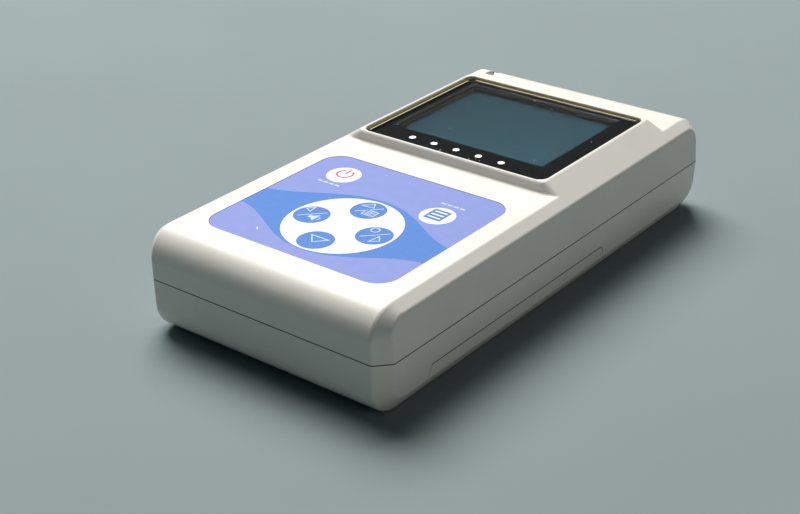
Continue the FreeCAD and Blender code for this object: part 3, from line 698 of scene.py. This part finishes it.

# painted highlight: pale golden lines along the window's left and far sides stand in for light caught by
# its polished edge
EDGE_INSET = 0.35             # from the window's outline to the pale line
EDGE_WIDE = 0.22
EDGE_CORNER = 1.4             # room left for the window's rounded corner
EDGE_SHORT = 1.6              # how far each line stops short of the window's other end
EDGE_SINK = 0.01
EDGE_RISE = 0.03
edge_highlight_finish = ink("window_edge_painted_highlight", (0.86, 0.76, 0.50), (0.80, 0.70, 0.44), 0.3)
EDGE_LEFT, EDGE_FAR = WINDOW_LOW.x + EDGE_INSET, WINDOW_HIGH.y - EDGE_INSET
EDGE_LINES = {
    "window_edge_left": rectangle((EDGE_LEFT, WINDOW_LOW.y + EDGE_SHORT),
                                  (EDGE_LEFT + EDGE_WIDE, EDGE_FAR - EDGE_CORNER)),
    "window_edge_far": rectangle((EDGE_LEFT + EDGE_CORNER, EDGE_FAR - EDGE_WIDE),
                                 (WINDOW_HIGH.x - EDGE_SHORT, EDGE_FAR)),
}
for name, line in EDGE_LINES.items():
    inlay(name, [line], WINDOW_HIGH.z - EDGE_SINK, WINDOW_HIGH.z + EDGE_RISE, "handset",
          edge_highlight_finish)

# specks of dust on the window: place from its middle, and radius
dust = ink("dust", (0.72, 0.72, 0.70), (0.5, 0.5, 0.48), 0.9)
WINDOW_MID = (WINDOW_LOW + WINDOW_HIGH) / 2
DUST_SINK = 0.005
DUST_RISE = 0.02
SPECKS = ((-3.6, -18.0, 0.15), (4.0, -18.3, 0.13), (6.2, -17.6, 0.09), (-3.1, 16.4, 0.17), (9.5, 15.1, 0.1),
          (-14.8, 7.3, 0.08), (15.3, -11.1, 0.09), (1.2, -1.3, 0.07), (-8.9, -7.5, 0.08), (19.6, 3.8, 0.09),
          (2.9, 14.2, 0.09), (12.0, 4.4, 0.07), (5.1, -17.4, 0.07))


def flake(x, y, r, kind):
    """An uneven speck with nine corners, whose shape differs from one kind to the next."""
    corners, step, uneven, wander = 9, 0.7, 0.35, 2.3
    return [(x + r * (1 + uneven * math.sin(wander * k + kind)) * math.cos(k * step),
             y + r * math.sin(k * step)) for k in range(corners)]


for i, (dx, dy, r) in enumerate(SPECKS):
    inlay(f"window_speck_{i + 1}", [flake(WINDOW_MID.x + dx, WINDOW_MID.y + dy, r, i)],
          WINDOW_HIGH.z - DUST_SINK, WINDOW_HIGH.z + DUST_RISE, "handset", dust)

# ---------------------------------------------------------------- stage, light and camera, in metres
FLOOR_RADIUS = 4.0
FLOOR_GAP = 0.00002           # just clear of the case's underside
floor_mat = Material("floor", (0.255, 0.305, 0.315), 0.9, Specular_IOR_Level=0.1)
floor_mat.mottle((0.247, 0.295, 0.304), 60.0)
floor_mesh = bpy.data.meshes.new("floor")
floor_work = bmesh.new()
bmesh.ops.create_circle(floor_work, cap_ends=True, segments=96, radius=FLOOR_RADIUS)
floor_work.to_mesh(floor_mesh)
floor_work.free()
floor_mesh.materials.append(floor_mat.mat)
floor = bpy.data.objects.new("floor", floor_mesh)
bpy.context.scene.collection.objects.link(floor)
floor.location.z = cad_box[0].z - FLOOR_GAP

world = bpy.data.worlds.new("studio")
bpy.context.scene.world = world
world.use_nodes = True
backdrop = world.node_tree.nodes["Background"]
backdrop.inputs["Color"].default_value = (0.50, 0.80, 0.92, 1.0)
backdrop.inputs["Strength"].default_value = 0.035

MIDDLE = (cad_box[0] + cad_box[1]) / 2


def softbox(name, place, size, power, colour):
    """A rectangular light that faces the middle of the object."""
    lamp = bpy.data.lights.new(name, "AREA")
    lamp.shape = "RECTANGLE"
    lamp.size, lamp.size_y = size
    lamp.energy = power
    lamp.color = colour
    holder = bpy.data.objects.new(name, lamp)
    bpy.context.scene.collection.objects.link(holder)
    holder.location = place
    holder.rotation_euler = (MIDDLE - Vector(place)).to_track_quat("-Z", "Y").to_euler()


softbox("window_light", place=(-0.66, 0.44, 1.20), size=(0.9, 0.9), power=34.0, colour=(1.0, 0.985, 0.955))
softbox("side_fill", place=(1.2, 0.15, 0.5), size=(0.8, 0.5), power=1.4, colour=(1.0, 0.95, 0.87))

CAMERA_AT = Vector((0.1739, -0.2290, 0.1502))
CAMERA_TO = Vector((0.0060, -0.0217, 0.0120))
CAMERA_ROLL = math.radians(-1.385)
LENS_MM = 68.95
SENSOR_MM = 36.0
camera = bpy.data.objects.new("camera", bpy.data.cameras.new("camera"))
bpy.context.scene.collection.objects.link(camera)
camera.data.lens = LENS_MM
camera.data.sensor_width = SENSOR_MM
camera.data.clip_start = 0.01
turn = (CAMERA_TO - CAMERA_AT).to_track_quat("-Z", "Y").to_matrix().to_4x4()
camera.matrix_world = Matrix.Translation(CAMERA_AT) @ turn @ Matrix.Rotation(CAMERA_ROLL, 4, "Z")
bpy.context.scene.camera = camera
bpy.context.scene.view_settings.view_transform = "Standard"
